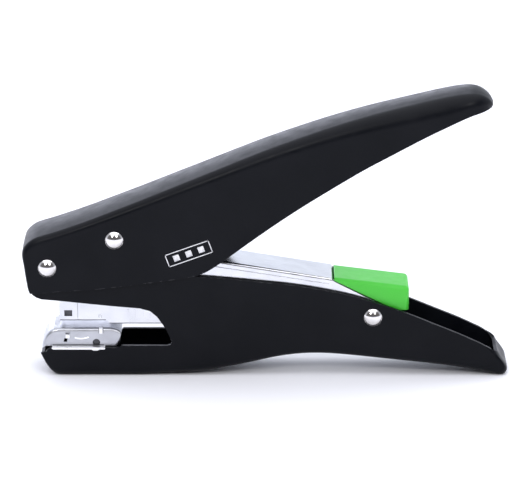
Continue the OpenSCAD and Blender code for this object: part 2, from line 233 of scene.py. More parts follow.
def remap(tree, value, low, high, to_low, to_high):
    """value from low..high to to_low..to_high, held at both ends."""
    node = tree.nodes.new("ShaderNodeMapRange")
    node.inputs["From Min"].default_value = low
    node.inputs["From Max"].default_value = high
    node.inputs["To Min"].default_value = to_low
    node.inputs["To Max"].default_value = to_high
    tree.links.new(value, node.inputs["Value"])
    return node.outputs["Result"]


def multiply(tree, a, b):
    """The product of two outputs."""
    node = tree.nodes.new("ShaderNodeMath")
    node.operation = "MULTIPLY"
    tree.links.new(a, node.inputs[0])
    tree.links.new(b, node.inputs[1])
    return node.outputs[0]


def mix_colours(tree, factor, a, b):
    """Colour a where factor is 0 and b where it is 1; each is a tuple or an output."""
    node = tree.nodes.new("ShaderNodeMix")
    node.data_type = "RGBA"
    tree.links.new(factor, node.inputs["Factor"])
    for socket, colour in ((node.inputs[6], a), (node.inputs[7], b)):
        if isinstance(colour, tuple):
            socket.default_value = (*colour, 1)
        else:
            tree.links.new(colour, socket)
    return node.outputs[2]


def mottled(tree, scale, detail, low, high, a, b, stretch=None):
    """Colours a and b in patches: noise from low to high fades a into b."""
    patches = remap(tree, noise(tree, scale, detail, stretch), low, high, 0, 1)
    return mix_colours(tree, patches, a, b)


def bump(tree, height, distance, strength, normal=None):
    """A bumped normal: distance is in metres, and normal is a bump that it adds to."""
    node = tree.nodes.new("ShaderNodeBump")
    node.inputs["Strength"].default_value = strength
    node.inputs["Distance"].default_value = distance
    tree.links.new(height, node.inputs["Height"])
    if normal:
        tree.links.new(normal, node.inputs["Normal"])
    return node.outputs["Normal"]


def edge_mask(tree, radius, low, high):
    """1 along convex edges, where the rounded normal leaves the true one."""
    rounded = tree.nodes.new("ShaderNodeBevel")
    rounded.samples = 4
    rounded.inputs["Radius"].default_value = radius
    geometry = tree.nodes.new("ShaderNodeNewGeometry")
    dot = tree.nodes.new("ShaderNodeVectorMath")
    dot.operation = "DOT_PRODUCT"
    tree.links.new(rounded.outputs["Normal"], dot.inputs[0])
    tree.links.new(geometry.outputs["True Normal"], dot.inputs[1])
    return remap(tree, dot.outputs["Value"], high, low, 0, 1)


def black_enamel():
    """Satin stove enamel: fine orange peel, faint mottling, and a lighter grey along the convex edges,
    partly paint rubbed thin and partly a painted highlight on the rounded rims.
    """
    material, tree, shader = new_material("black_enamel", (0.005, 0.0055, 0.0075), 0.36, specular=0.11)
    # Lighter grey on convex edges in noise patches: partly rubbed paint, partly a painted highlight on the
    # rims.
    edge_patches = remap(tree, noise(tree, 420, 6), 0.5, 0.62, 0, 1)
    worn_and_highlit_edges = multiply(tree, edge_mask(tree, 0.0005, 0.80, 0.97), edge_patches)
    paint = mottled(tree, 60, 5, 0.35, 0.65, (0.0030, 0.0036, 0.0056), (0.0048, 0.0054, 0.0078))
    tree.links.new(mix_colours(tree, worn_and_highlit_edges, paint, (0.075, 0.077, 0.082)), shader.inputs["Base Color"])
    tree.links.new(remap(tree, noise(tree, 240, 4), 0.3, 0.7, 0.30, 0.42), shader.inputs["Roughness"])
    peel = bump(tree, noise(tree, 900, 3), 0.00002, 0.55)
    grit = bump(tree, noise(tree, 5200, 2), 0.000004, 0.6, peel)
    tree.links.new(grit, shader.inputs["Normal"])
    return material


def nickel(name, light, dark, smooth, rough):
    """Nickel plate over pressed steel: faint draw lines, smears and softened reflections."""
    material, tree, shader = new_material(name, light, 0.2, metallic=1.0)
    tree.links.new(mottled(tree, 130, 5, 0.35, 0.7, light, dark), shader.inputs["Base Color"])
    tree.links.new(remap(tree, noise(tree, 300, 5), 0.3, 0.72, smooth, rough), shader.inputs["Roughness"])
    lines = bump(tree, noise(tree, 400, 4, stretch=(0.12, 6, 6)), 0.000006, 0.5)
    waves = bump(tree, noise(tree, 90, 2), 0.00008, 0.25, lines)
    tree.links.new(waves, shader.inputs["Normal"])
    return material


def nickel_painted_highlight():
    """Nickel whiter than the anvil's walls, a painted highlight on its tabs, marks and flanges."""
    material, tree, shader = new_material("nickel_painted_highlight", (0.93, 0.93, 0.94), 0.3, metallic=1.0)
    tree.links.new(remap(tree, noise(tree, 600, 4), 0.3, 0.7, 0.24, 0.4), shader.inputs["Roughness"])
    tree.links.new(bump(tree, noise(tree, 1800, 3), 0.000004, 0.4), shader.inputs["Normal"])
    return material


def rivet_nickel():
    """Mirror-bright rivet heads with a few fine scuffs."""
    material, tree, shader = new_material("rivet_nickel", (0.87, 0.86, 0.85), 0.1, metallic=1.0)
    tree.links.new(remap(tree, noise(tree, 500, 5), 0.35, 0.7, 0.07, 0.18), shader.inputs["Roughness"])
    tree.links.new(bump(tree, noise(tree, 2500, 3), 0.000003, 0.4), shader.inputs["Normal"])
    scuffs = mottled(tree, 260, 3, 0.4, 0.7, (0.80, 0.78, 0.77), (0.70, 0.68, 0.68))
    tree.links.new(scuffs, shader.inputs["Base Color"])
    return material


def spring_steel():
    """Bright drawn and hardened steel, slightly oily."""
    material, tree, shader = new_material("spring_steel", (0.42, 0.43, 0.45), 0.3, metallic=1.0)
    oil = mottled(tree, 220, 5, 0.35, 0.68, (0.46, 0.47, 0.49), (0.31, 0.31, 0.33))
    tree.links.new(oil, shader.inputs["Base Color"])
    tree.links.new(remap(tree, noise(tree, 700, 4), 0.3, 0.7, 0.22, 0.42), shader.inputs["Roughness"])
    tree.links.new(bump(tree, noise(tree, 1400, 4), 0.000006, 0.5), shader.inputs["Normal"])
    return material


def dark_steel():
    """Phosphated steel of the pusher, nearly black in the magazine's shade; the same dark colour also
    paints the strips of shade in the anvil's crease and under the magazine's foot.
    """
    material, tree, shader = new_material("dark_steel", (0.10, 0.10, 0.11), 0.45, metallic=0.8)
    coat = mottled(tree, 300, 5, 0.35, 0.68, (0.11, 0.11, 0.12), (0.06, 0.06, 0.07))
    tree.links.new(coat, shader.inputs["Base Color"])
    tree.links.new(remap(tree, noise(tree, 700, 4), 0.3, 0.7, 0.38, 0.55), shader.inputs["Roughness"])
    return material


def green_plastic():
    """Moulded light green plastic with a soft sheen, a little light passing into it."""
    material, tree, shader = new_material("green_plastic", (0.07, 0.54, 0.045), 0.38)
    shader.inputs["Subsurface Weight"].default_value = 0.25
    shader.inputs["Subsurface Radius"].default_value = (0.4, 1.0, 0.35)
    shader.inputs["Subsurface Scale"].default_value = 0.0015
    flow = mottled(tree, 45, 3, 0.35, 0.65, (0.050, 0.525, 0.030), (0.068, 0.575, 0.042), (0.5, 1, 1.6))
    tree.links.new(flow, shader.inputs["Base Color"])
    tree.links.new(remap(tree, noise(tree, 350, 4), 0.3, 0.7, 0.33, 0.45), shader.inputs["Roughness"])
    tree.links.new(bump(tree, noise(tree, 2600, 3), 0.000006, 0.5), shader.inputs["Normal"])
    return material


def white_print():
    """Pad-printed white ink, slightly broken at its edges."""
    material, tree, shader = new_material("white_print", (0.82, 0.82, 0.84), 0.45)
    ink = mottled(tree, 1500, 4, 0.35, 0.6, (0.70, 0.70, 0.73), (0.86, 0.86, 0.88))
    tree.links.new(ink, shader.inputs["Base Color"])
    tree.links.new(remap(tree, noise(tree, 900, 3), 0.3, 0.7, 0.4, 0.55), shader.inputs["Roughness"])
    return material


def studio_floor():
    """Pale matt board, very faintly clouded."""
    material, tree, shader = new_material("studio_floor", (0.90, 0.90, 0.93), 0.6, specular=0.25)
    clouds = mottled(tree, 6, 3, 0.3, 0.7, (0.895, 0.895, 0.925), (0.905, 0.905, 0.935))
    tree.links.new(clouds, shader.inputs["Base Color"])
    return material


ENAMEL = black_enamel()
NICKEL = nickel("nickel", (0.73, 0.74, 0.77), (0.64, 0.65, 0.69), 0.13, 0.27)
ANVIL_NICKEL = nickel("anvil_nickel", (0.58, 0.59, 0.63), (0.50, 0.51, 0.55), 0.3, 0.42)
RIVET = rivet_nickel()
# The whiter nickel below is a painted highlight.
NICKEL_PAINTED_HIGHLIGHT = nickel_painted_highlight()
STEEL = spring_steel()
DARK_STEEL = dark_steel()
GREEN = green_plastic()
PRINT = white_print()
FLOOR = studio_floor()


# ---------------------------------------------------------------- mesh tools

SAME_POINT = 1e-7  # metres: points closer than this are one


def closed_mesh(name, points, faces):
    """A mesh from points in millimetres, its faces all turned outwards."""
    mesh = bpy.data.meshes.new(name)
    mesh.from_pydata([tuple(float(c) * MM for c in p) for p in points], [], faces)
    mesh.validate()
    work = bmesh.new()
    work.from_mesh(mesh)
    bmesh.ops.remove_doubles(work, verts=work.verts, dist=SAME_POINT)
    bmesh.ops.recalc_face_normals(work, faces=work.faces)
    work.to_mesh(mesh)
    work.free()
    return mesh


def shade_smooth(mesh):
    """Smooth shading on every face."""
    mesh.polygons.foreach_set("use_smooth", [True] * len(mesh.polygons))


def piece(name, points, faces, material, body, slot=None, replaces=()):
    """A new mesh piece from points in millimetres, riding on a CAD body."""
    mesh = closed_mesh(name, points, faces)
    shade_smooth(mesh)
    obj = bpy.data.objects.new(name, mesh)
    bpy.context.scene.collection.objects.link(obj)
    mesh.materials.append(material)
    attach(obj, body)
    if replaces:
        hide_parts(*replaces)
    return obj


def apply_modifiers(obj):
    """Bakes the object's modifiers into its mesh."""
    depsgraph = bpy.context.evaluated_depsgraph_get()
    mesh = bpy.data.meshes.new_from_object(obj.evaluated_get(depsgraph))
    obj.modifiers.clear()
    obj.data = mesh


SHARP_ANGLE = math.radians(35)


def keep_flat(obj, weight):
    """Keeps large flat faces flat in the shading, the more so the higher the weight."""
    normals = obj.modifiers.new("flat_faces", "WEIGHTED_NORMAL")
    normals.weight = weight
    normals.keep_sharp = False


def round_edges(obj, width, segments=3):
    """Bevels the sharp edges and keeps flat faces flat in the shading."""
    bevel = obj.modifiers.new("round_edges", "BEVEL")
    bevel.width = width * MM
    bevel.segments = segments
    bevel.limit_method = "ANGLE"
    bevel.angle_limit = SHARP_ANGLE
    bevel.use_clamp_overlap = True
    bevel.harden_normals = False
    keep_flat(obj, 80)


def cut(obj, points, faces, operation="DIFFERENCE"):
    """Takes a closed solid, given in millimetres, out of a piece, or keeps only what is inside it."""
    cutter = bpy.data.objects.new("cutter", closed_mesh("cutter", points, faces))
    bpy.context.scene.collection.objects.link(cutter)
    boolean = obj.modifiers.new("cut", "BOOLEAN")
    boolean.operation = operation
    boolean.solver = "EXACT"
    boolean.object = cutter
    apply_modifiers(obj)
    bpy.data.objects.remove(cutter)


def prism(outline, y_low, y_high):
    """A side outline of (x, z) points carried across from y_low to y_high: (points, faces)."""
    n = len(outline)
    points = [(x, y, z) for y in (y_low, y_high) for x, z in outline]
    faces = [tuple(range(n)), tuple(range(2 * n - 1, n - 1, -1))]
    faces += [(i, i + n, (i + 1) % n + n, (i + 1) % n) for i in range(n)]
    return points, faces


def box_solid(x0, x1, y0, y1, z0, z1):
    """A box between two corners: (points, faces)."""
    return prism([(x0, z0), (x1, z0), (x1, z1), (x0, z1)], y0, y1)


def circle(centre, radius, count=40):
    """Points (x, z) round a circle in the side plane."""
    return [(centre[0] + radius * math.cos(a), centre[1] + radius * math.sin(a))
            for a in np.linspace(0, 2 * math.pi, count + 1)[:-1]]


def merge_flat(obj, planes):
    """Joins the strips of each flat wall, at the given y in millimetres, into one face."""
    work = bmesh.new()
    work.from_mesh(obj.data)
    for y in planes:
        flat = {f for f in work.faces if all(abs(v.co.y / MM - y) < 1e-3 for v in f.verts)}
        inner = [e for e in work.edges if sum(f in flat for f in e.link_faces) == 2]
        bmesh.ops.dissolve_edges(work, edges=inner, use_verts=True)
    work.to_mesh(obj.data)
    work.free()


def smooth_rows(rows, steps, passes):
    """A Catmull-Rom curve through the rows, then averaged a few times with its ends held."""
    rows = np.array(rows, float)
    padded = np.vstack([rows[:1], rows, rows[-1:]])
    out = []
    for i in range(len(rows) - 1):
        a, b, c, d = padded[i:i + 4]
        for k in range(steps):
            t = k / steps
            out.append(0.5 * (2 * b + (c - a) * t + (2 * a - 5 * b + 4 * c - d) * t * t
                              + (3 * b - a - 3 * c + d) * t ** 3))
    out.append(rows[-1])
    out = np.array(out)
    for _ in range(passes):
        out[1:-1] = out[:-2] / 4 + out[1:-1] / 2 + out[2:] / 4
    return out


WEB_STRIPS = 6


def section(corner, free, half, radius, arc, crown, flare):
    """One half-open outline of a channel: free edge, wall, shoulder, web, shoulder, wall, free edge."""
    along = (free - corner) / np.linalg.norm(free - corner)
    near = []
    for k in range(arc + 1):
        a = math.pi / 2 * k / arc
        p = corner + along * radius * (1 - math.sin(a))
        near.append((p[0], -(half - radius + radius * math.cos(a)), p[1]))
    flat = half - radius
    web = []
    for k in range(1, WEB_STRIPS):
        y = -flat + 2 * flat * k / WEB_STRIPS
        p = corner - along * crown * (1 - (y / flat) ** 2)
        web.append((p[0], y, p[1]))
    far = [(x, -y, z) for x, y, z in reversed(near)]
    edge = half + flare
    return [(free[0], -edge, free[1])] + near + web + far + [(free[0], edge, free[1])]


def pressed_channel(rows, half, thickness, arc=8, crown=0.0, flare=0.0):
    """Points and faces of a closed shell: outer and inner sections joined at both rims and both ends.

    crown raises the middle of the web, the same everywhere or one value per row, and flare leans
    the walls outwards at their free edges.
    """
    crowns = np.zeros(len(rows)) + crown
    webs, edges = rows[:, 0:2], rows[:, 2:4]
    n = len(rows)
    outer, inner = [], []
    for i in range(n):
        tangent = webs[min(i + 1, n - 1)] - webs[max(i - 1, 0)]
        normal = np.array([-tangent[1], tangent[0]]) / np.linalg.norm(tangent)
        if normal @ (edges[i] - webs[i]) < 0:
            normal = -normal
        share, radius = rows[i, 4], rows[i, 5]
        outer.append(section(webs[i], edges[i], half * share, radius, arc, crowns[i], flare))
        inner.append(section(webs[i] + thickness * normal, edges[i], half * share - thickness,
                             max(radius - thickness, 0.25), arc, crowns[i], flare))
    m = len(outer[0])
    ring = 2 * m
    points = [p for i in range(n) for p in outer[i] + inner[i][::-1]]
    faces = [(i * ring + j, i * ring + (j + 1) % ring, (i + 1) * ring + (j + 1) % ring, (i + 1) * ring + j)
             for i in range(n - 1) for j in range(ring)]
    for base in (0, (n - 1) * ring):
        faces += [(base + j, base + j + 1, base + ring - 2 - j, base + ring - 1 - j) for j in range(m - 1)]
    return points, faces


def lathe(profile, centre, side, turns=64):
    """A profile of (radius, y) points turned about an axis across the stapler at centre (x, z)."""
    points, faces = [], []
    for r, y in profile:
        for k in range(turns):
            a = 2 * math.pi * k / turns
            points.append((centre[0] + r * math.cos(a), side * y, centre[1] + r * math.sin(a)))
    for i in range(len(profile) - 1):
        for k in range(turns):
            n = (k + 1) % turns
            faces.append((i * turns + k, i * turns + n, (i + 1) * turns + n, (i + 1) * turns + k))
    faces.append(tuple(range(turns)))
    last = (len(profile) - 1) * turns
    faces.append(tuple(range(last + turns - 1, last - 1, -1)))
    return points, faces


def join(*solids):
    """Several (points, faces) lists as one."""
    points, faces = [], []
    for p, f in solids:
        base = len(points)
        points += list(p)
        faces += [tuple(i + base for i in face) for face in f]
    return points, faces


def tube(path, radius, sides):
    """A round wire along a list of points, closed at both ends."""
    path = np.array(path, float)
    tangents = np.gradient(path, axis=0)
    tangents /= np.linalg.norm(tangents, axis=1)[:, None]
    up = np.array([0.0, 1.0, 0.0]) if abs(tangents[0][1]) < 0.9 else np.array([1.0, 0.0, 0.0])
    points, faces = [], []
    for p, t in zip(path, tangents):
        up = up - t * (up @ t)
        up /= np.linalg.norm(up)
        side = np.cross(t, up)
        for k in range(sides):
            a = 2 * math.pi * k / sides
            points.append(tuple(p + radius * (math.cos(a) * up + math.sin(a) * side)))
    n = len(path)
    for i in range(n - 1):
        for k in range(sides):
            m = (k + 1) % sides
            faces.append((i * sides + k, i * sides + m, (i + 1) * sides + m, (i + 1) * sides + k))
    faces.append(tuple(range(sides - 1, -1, -1)))
    faces.append(tuple((n - 1) * sides + k for k in range(sides)))
    return points, faces


# ---------------------------------------------------------------- handles

CROWN_HEIGHTS = [46, 54, 70, 95]
CROWNS = [0.1, 0.65, 0.6, 0.35]


def upper_handle():
    """The pressed upper handle: its web is crowned, most of all over the middle."""
    rows = smooth_rows(UPPER_STATIONS, 8, 10)
    crown = np.interp(rows[:, 1], CROWN_HEIGHTS, CROWNS)
    points, faces = pressed_channel(rows, UPPER_HALF, SHEET_T, arc=10, crown=crown)
    obj = piece("upper_handle_shell", points, faces, ENAMEL, "upper_arm", "black_enamel", ["upper_handle"])
    round_edges(obj, 0.35)


def lower_handle():
    """The pressed lower handle, standing on the floor, with its paper throat and pivot hole."""
    rows = smooth_rows(LOWER_STATIONS, 8, 8)
    rows[:, 1] = np.maximum(rows[:, 1], 0.0)
    points, faces = pressed_channel(rows, LOWER_HALF, SHEET_T)
    obj = piece("lower_handle_shell", points, faces, ENAMEL, "lower_arm", "black_enamel", ["lower_handle"])
    cut(obj, *prism(THROAT, -THROUGH_HANDLE, THROUGH_HANDLE))
    cut(obj, *prism(circle(FRONT_PIVOT, SHANK_R + FIT), -THROUGH_HANDLE, THROUGH_HANDLE))
    merge_flat(obj, [-LOWER_HALF, LOWER_HALF, SHEET_T - LOWER_HALF, LOWER_HALF - SHEET_T])
    shade_smooth(obj.data)
    round_edges(obj, 0.5, 4)


# ---------------------------------------------------------------- rivets

HEAD_R, HEAD_H = 3.2, 1.6


def rivet(name, centre, half, shank_r, body, node):
    """Two domed heads with a rounded foot, on a shank."""
    dome_r = (HEAD_R ** 2 + HEAD_H ** 2) / (2 * HEAD_H)
    profile = [(HEAD_R - 0.35, half - 0.05), (HEAD_R - 0.02, half), (HEAD_R, half + 0.12)]
    for k in range(1, 13):
        r = (HEAD_R - 0.1) * math.cos(math.pi / 2 * k / 12)
        profile.append((max(r, 0.02), half + HEAD_H - dome_r + math.sqrt(dome_r ** 2 - r ** 2)))
    shank = lathe([(shank_r, -half), (shank_r, half)], centre, 1)
    heads = [lathe(profile, centre, side) for side in (-1, 1)]
    piece(name, *join(shank, *heads), RIVET, body, "nickel", [node])


# ---------------------------------------------------------------- anvil

# Stations of the anvil, nose to rear, in the same form as the handles'.
ANVIL_ROWS = [
    (-79.8, 9.4, -78.3, 10.5, 1, 1.2),
    (-79.75, 10.9, -77.8, 10.5, 1, 1.2),
    (-79.2, 12.4, -77.2, 10.5, 1, 1.2),
    (-78.5, 13.9, -76.5, 10.5, 1, 1.2),
    (-77.5, 15.3, -75.6, 10.5, 1, 1.2),
    (-76.0, 16.4, -74.6, 10.5, 1, 1.2),
    (-73.8, 16.9, -73.0, 10.5, 1, 1.2),
    (-70.0, 16.9, -70.0, 10.5, 1, 1.2),
    (-62.0, 16.9, -62.0, 10.5, 1, 1.2),
    (-56.2, 16.9, -56.6, 10.5, 1, 1.2),
    (-54.9, 16.8, -55.4, 10.5, 1, 1.1),
    (-53.4, 16.4, -55.0, 10.5, 1, 1.0),
    (-51.9, 15.6, -54.2, 10.5, 1, 0.9),
    (-51.6, 15.1, -53.7, 10.6, 1, 0.9),
    (-51.8, 13.8, -53.4, 10.7, 1, 0.9),
    (-52.2, 11.2, -53.4, 10.8, 1, 0.9),
]
ANVIL_HALF = 7.0
ANVIL_FLARE = 0.45
ANVIL_T = 0.8
ANVIL_PIN = (-60.5, 11.7)
ANVIL_PIN_R = 1.3


def wall_hole(obj, x, z, width, height, lean):
    """A punched hole through both side walls of the anvil, a leaning lozenge."""
    outline = [(x - width / 2, z - height / 2), (x + width / 2 - lean, z - height / 2),
               (x + width / 2, z + height / 2), (x - width / 2 + lean, z + height / 2)]
    cut(obj, *prism(outline, -THROUGH, THROUGH))


def anvil():
    """The pressed anvil: a leaning-sided cap with punched holes, open notches and a hole for its pin."""
    rows = smooth_rows(ANVIL_ROWS, 5, 1)
    points, faces = pressed_channel(rows, ANVIL_HALF, ANVIL_T, arc=6, flare=ANVIL_FLARE)
    obj = piece("anvil_shell", points, faces, ANVIL_NICKEL, "lower_arm", "nickel", ["anvil", "anvil_pin"])
    wall_hole(obj, -70.6, 15.35, 1.9, 0.95, 0.3)
    wall_hole(obj, -71.4, 12.6, 1.5, 1.3, 0.3)
    cut(obj, *prism(circle(ANVIL_PIN, ANVIL_PIN_R + 0.05, 23), -THROUGH, THROUGH))
    for side in (-1, 1):
        cut(obj, *box_solid(-59.7, -58.0, side * 5.2, side * 9, 15.1, 18))
    shade_smooth(obj.data)
    round_edges(obj, 0.1, 2)


def anvil_tabs():
    """Bent tabs in the notches, formed tongues between the holes, and raised curved marks."""
    solids = []
    for side in (-1, 1):
        solids.append(box_solid(-59.5, -58.2, side * 5.6, side * 7.25, 14.9, 16.95))
        solids.append(box_solid(-71.4, -69.9, side * 6.6, side * 7.6, 13.35, 14.6))
        mark = [(-68.2 + 5.1 * t, side * 7.2, 13.55 - 0.5 * math.sin(math.pi * t) + 0.2 * t)
                for t in np.linspace(0, 1, 12)]
        solids.append(tube(mark, 0.32, 8))
    # The tabs and curved marks take the whiter nickel, a painted highlight.
    tabs = piece("anvil_tabs", *join(*solids), NICKEL_PAINTED_HIGHLIGHT, "lower_arm", "nickel")
    round_edges(tabs, 0.12, 2)


def anvil_pin_and_crease_shade():
    """The pin's recessed ends, and a dark strip of painted shade in the crease where the anvil meets its
    flanges.
    """
    solids = []
    for side in (-1, 1):
        # A dark strip of painted shade in the crease between the anvil's wall and its flange.
        solids.append(box_solid(-76.0, -57.8, side * 6.9, side * 7.65, 10.82, 11.0))
        pin_end = [(ANVIL_PIN_R, 5.8), (ANVIL_PIN_R, 6.9), (ANVIL_PIN_R - 0.2, 7.0)]
        solids.append(lathe(pin_end, ANVIL_PIN, side, 28))
    shade = piece("anvil_pin_and_crease_shade", *join(*solids), DARK_STEEL, "lower_arm", "steel")
    round_edges(shade, 0.05, 1)


def anvil_flanges():
    """The anvil's flanges, folded out over the lower handle's edges, with a step below the pin."""
    lip = [(-76.4, 10.5), (-76.0, 10.8), (-57.6, 10.8), (-57.2, 10.4), (-57.5, 10.0), (-59.2, 9.95),
           (-60.0, 9.6), (-61.4, 9.6), (-62.2, 9.95), (-75.8, 10.0)]
    shelf = [(-76.2, 10.62), (-75.9, 10.8), (-57.7, 10.8), (-57.3, 10.62)]
    solids = []
    for side in (-1, 1):
        solids.append(prism(lip, side * 9.72, side * 9.95))
        solids.append(prism(shelf, side * 6.9, side * 9.85))
    # The flanges take the whiter nickel, a painted highlight.
    strips = piece("anvil_flanges", *join(*solids), NICKEL_PAINTED_HIGHLIGHT, "lower_arm", "nickel")
    round_edges(strips, 0.1, 2)


# ---------------------------------------------------------------- magazine trim

MAGAZINE_HALF = box_mm("magazine_channel")[1][1]
STROKES = (-49.4, -47.0, -44.2, -41.6)
# Spans and heights of the dark strips of painted shadow under the magazine's foot and its nose plate: (x
# from, x to, z).
FOOT_EDGES = ((-73.3, -57.0, 20.02), (-55.7, 37.0, 18.82))


def magazine_marks():
    """Faint raised strokes and a pressed nick on the magazine's walls."""
    solids = []
    for side in (-1, 1):
        low, high = side * (MAGAZINE_HALF - 0.1), side * (MAGAZINE_HALF + 0.05)
        solids += [box_solid(x, x + 0.5, low, high, 21.2, 24.1) for x in STROKES]
        nick = [(0.6, MAGAZINE_HALF - 0.3), (0.6, MAGAZINE_HALF - 0.08), (0.45, MAGAZINE_HALF - 0.02)]
        solids.append(lathe(nick, (-59.0, 21.6), side, 24))
    marks = piece("magazine_marks", *join(*solids), NICKEL, "magazine", "nickel")
    round_edges(marks, 0.05, 2)


def magazine_foot_shadows():
    """A dark strip of painted shadow under the edge along the foot of the magazine and of its nose plate.
    """
    solids = []
    for side in (-1, 1):
        for low, high, z in FOOT_EDGES:
            inside, outside = side * (MAGAZINE_HALF - 0.3), side * (MAGAZINE_HALF + 0.04)
            solids.append(box_solid(low, high, inside, outside, z, z + 0.3))
    edges = piece("magazine_foot_shadows", *join(*solids), DARK_STEEL, "magazine", "steel")
    round_edges(edges, 0.04, 1)


# ---------------------------------------------------------------- printed mark

MARK_CENTRE = np.array([-27.4, 46.3])
MARK_SLANT = math.radians(20)
MARK_LENGTH, MARK_HEIGHT, MARK_LINE = 8.2, 2.4, 0.32  # half length and half height
DOT_HALF = 1.1
DOTS = (-4.6, 0, 4.6)


def printed_mark():
    """A plain printed panel, a slanted frame round three dots, on the near side of the upper handle."""
    along = np.array([math.cos(MARK_SLANT), math.sin(MARK_SLANT)])
    over = np.array([-along[1], along[0]])

    def bar(a0, a1, b0, b1):
        corners = [MARK_CENTRE + along * a + over * b for a, b in ((a0, b0), (a1, b0), (a1, b1), (a0, b1))]
        return prism(corners, -UPPER_HALF - 0.03, -UPPER_HALF + 0.2)

    length, height, line = MARK_LENGTH, MARK_HEIGHT, MARK_LINE
    solids = [bar(-length, length, height - line, height), bar(-length, length, -height, line - height),
              bar(-length, line - length, -height, height), bar(length - line, length, -height, height)]
    solids += [bar(a - DOT_HALF, a + DOT_HALF, -DOT_HALF, DOT_HALF) for a in DOTS]
    piece("printed_mark", *join(*solids), PRINT, "upper_arm")


# ---------------------------------------------------------------- driver lever

LEVER_SLOPE = -0.162
LEVER_REAR_X = 22.9
LEVER_BOSS_R = 5.3
SEAM_DROP = 2.2
TONGUE = [(-73.4, 46.2), (-73.4, 45.1), (-69.3, 45.1), (-63.8, 49.7), (-65.2, 50.2), (-69.9, 46.2)]
TONGUE_HALF = 3.5


def lever_top(x):
    """The height of the lever's straight top at x."""
    return 41.6 + LEVER_SLOPE * (x + 10.9)


def driver_lever():
    """A folded channel with rounded bends, trimmed to its side outline and scored along its seam."""
    rows = np.array([(x, lever_top(x), x - 6, 8.0, 1, 1.0) for x in np.linspace(-76, 50, 8)])
    points, faces = pressed_channel(rows, LEVER_HALF, LEVER_T)
    obj = piece("driver_lever_shell", points, faces, NICKEL, "lever", "nickel", ["driver_lever"])
    boss = [(REAR_PIVOT[0] + LEVER_BOSS_R * math.cos(a), REAR_PIVOT[1] + LEVER_BOSS_R * math.sin(a))
            for a in np.linspace(math.radians(48), math.radians(-90), 14)]
    rear = [(LEVER_REAR_X, 38), (LEVER_REAR_X, lever_top(LEVER_REAR_X) - 0.4), (24, 34.8)]
    outline = [(-73, 31), (-73, 40), (-70.5, 52)] + rear + boss
    cut(obj, *prism(outline, -THROUGH, THROUGH), operation="INTERSECT")
    cut(obj, *prism(circle(REAR_PIVOT, REAR_SHANK_R + FIT), -THROUGH, THROUGH))
    for side in (-1, 1):
        seam = [(x, side * LEVER_HALF, lever_top(x) - SEAM_DROP) for x in (-60, 21.8)]
        cut(obj, *tube(np.linspace(seam[0], seam[1], 6), 0.16, 6))
    shade_smooth(obj.data)
    round_edges(obj, 0.12, 2)


def lever_tongue():
    """The tongue at the lever's front, which drives the blade."""
    tongue = piece("lever_tongue", *prism(TONGUE, -TONGUE_HALF, TONGUE_HALF), NICKEL, "lever", "nickel")
    round_edges(tongue, 0.15, 2)


# ---------------------------------------------------------------- pull cap

CAP_SIDE_R = 1.5
CAP_CORNER_R = 1.5
CAP_FOOT_X = 44.2


def cap_outline(inset):
    """The cap's side outline, its top and rear drawn in by inset."""
    front, rear, base = CAP_LOW[0], CAP_HIGH[0], CAP_LOW[2]
    top = [(front - 0.7, max(35.9 - inset, 35.5)), (front - 0.3, max(36.0 - inset, 35.55))]
    turn_x = rear - inset * 0.8 - CAP_CORNER_R
    turn_z = 32.9 - inset - CAP_CORNER_R
    turn = [(turn_x + CAP_CORNER_R * math.cos(a), turn_z + CAP_CORNER_R * math.sin(a))
            for a in np.linspace(math.radians(82), 0, 9)]
    foot = [(rear - inset * 0.8, base), (CAP_FOOT_X, base)]
    return [(CAP_FOOT_X, 25.0), (front - 0.7, 35.2)] + top + turn + foot


def pull_cap():
    """The moulded cap: flat front, sloping top, and its upper and rear edges well rounded."""
    layers = []
    for a in np.linspace(0, math.pi / 2, 9):
        layers.append((-CAP_HIGH[1] + CAP_SIDE_R * (1 - math.cos(a)), CAP_SIDE_R * (1 - math.sin(a))))
    layers += [(-y, inset) for y, inset in reversed(layers)]
    count = len(cap_outline(0))
    points = [(x, y, z) for y, inset in layers for x, z in cap_outline(inset)]
    faces = [(i + j, i + (j + 1) % count, i + count + (j + 1) % count, i + count + j)
             for i in range(0, (len(layers) - 1) * count, count) for j in range(count)]
    faces += [tuple(range(count)), tuple(range((len(layers) - 1) * count, len(layers) * count))]
    obj = piece("pull_cap_moulding", points, faces, GREEN, "loader", "green_plastic", ["pull_cap"])
    normals = obj.modifiers.new("flat_faces", "WEIGHTED_NORMAL")
    normals.weight = 60


def pull_cap_core():
    """The narrower block under the cap, which slides between the lever's walls."""
    base = CAP_LOW[2]
    outline = [(30, base), (30, 32.1), (45.2, 25.5), (45.2, base)]
    core = piece("pull_cap_core", *prism(outline, -6.2, 6.2), GREEN, "loader", "green_plastic")
    round_edges(core, 0.3, 2)


# ---------------------------------------------------------------- springs

RETURN_TURNS, RETURN_MEAN_R, RETURN_WIRE_R = 6, 4.2, 0.5
PUSHER_TURNS, PUSHER_MEAN_R, PUSHER_WIRE_R = 30, 1.8, 0.25
CLOSED_PITCH = 2.1  # rise of a closed end turn, in wire radii


